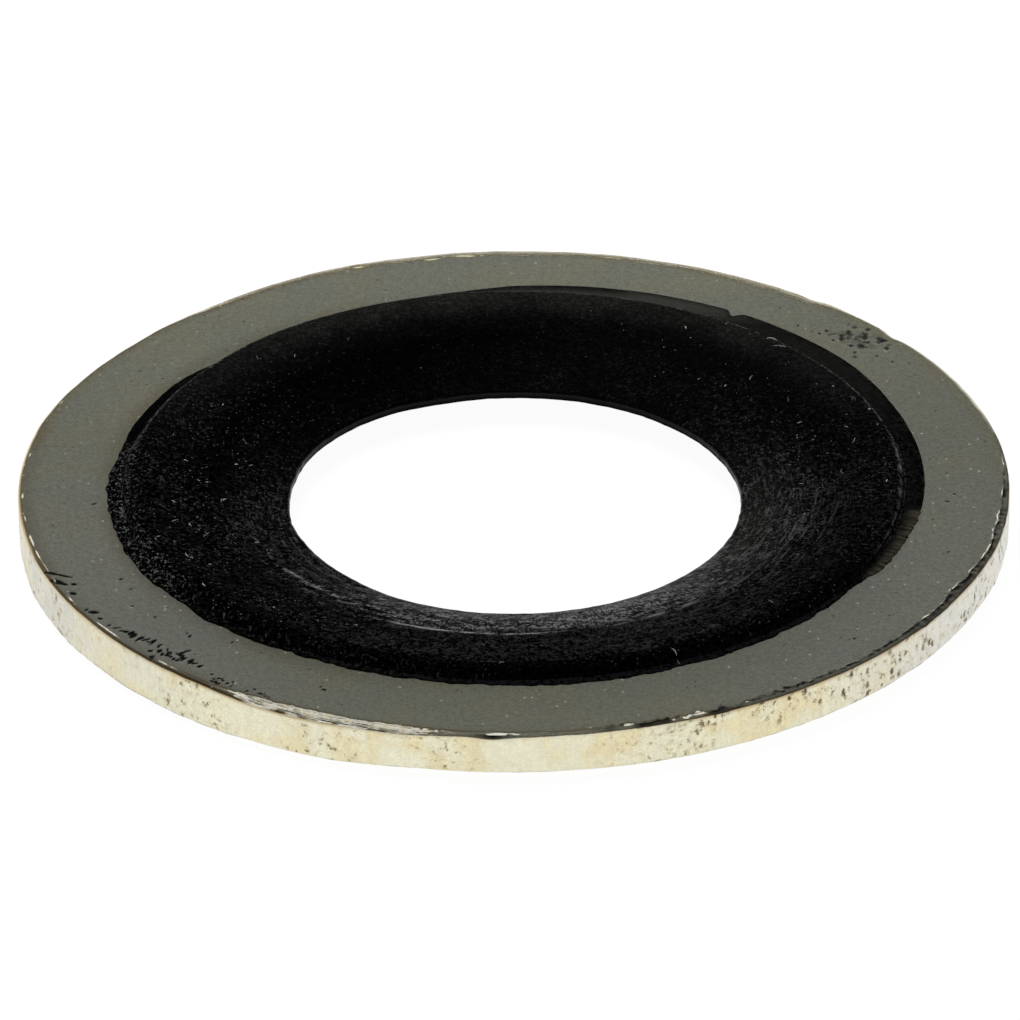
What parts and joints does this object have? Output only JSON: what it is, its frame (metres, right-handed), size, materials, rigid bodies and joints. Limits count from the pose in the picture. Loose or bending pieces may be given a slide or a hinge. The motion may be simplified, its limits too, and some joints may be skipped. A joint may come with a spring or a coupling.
{
  "type": "drain plug gasket",
  "caption": "Flat steel washer with a dished rubber seal moulded into its hole, which grips a drain plug's thread and seals its flange to the sump.",
  "frame": {"origin": "on the bore's axis, in the plane of the seal's lower crest, which the gasket lies on", "axes": "+Z along the bore's axis, out of the face that has the rolled rim; +X to the right and +Y to the back as seen in the picture"},
  "size_m": [0.0246, 0.0246, 0.0017],
  "materials": {
    "plated_steel": "zinc plate with a pale yellow passivate, satin",
    "rubber": "moulded, matt and slightly dusty"
  },
  "bodies": {
    "root": {"steel_washer": "plated_steel", "rubber_seal": "rubber"}
  },
  "joints": []
}
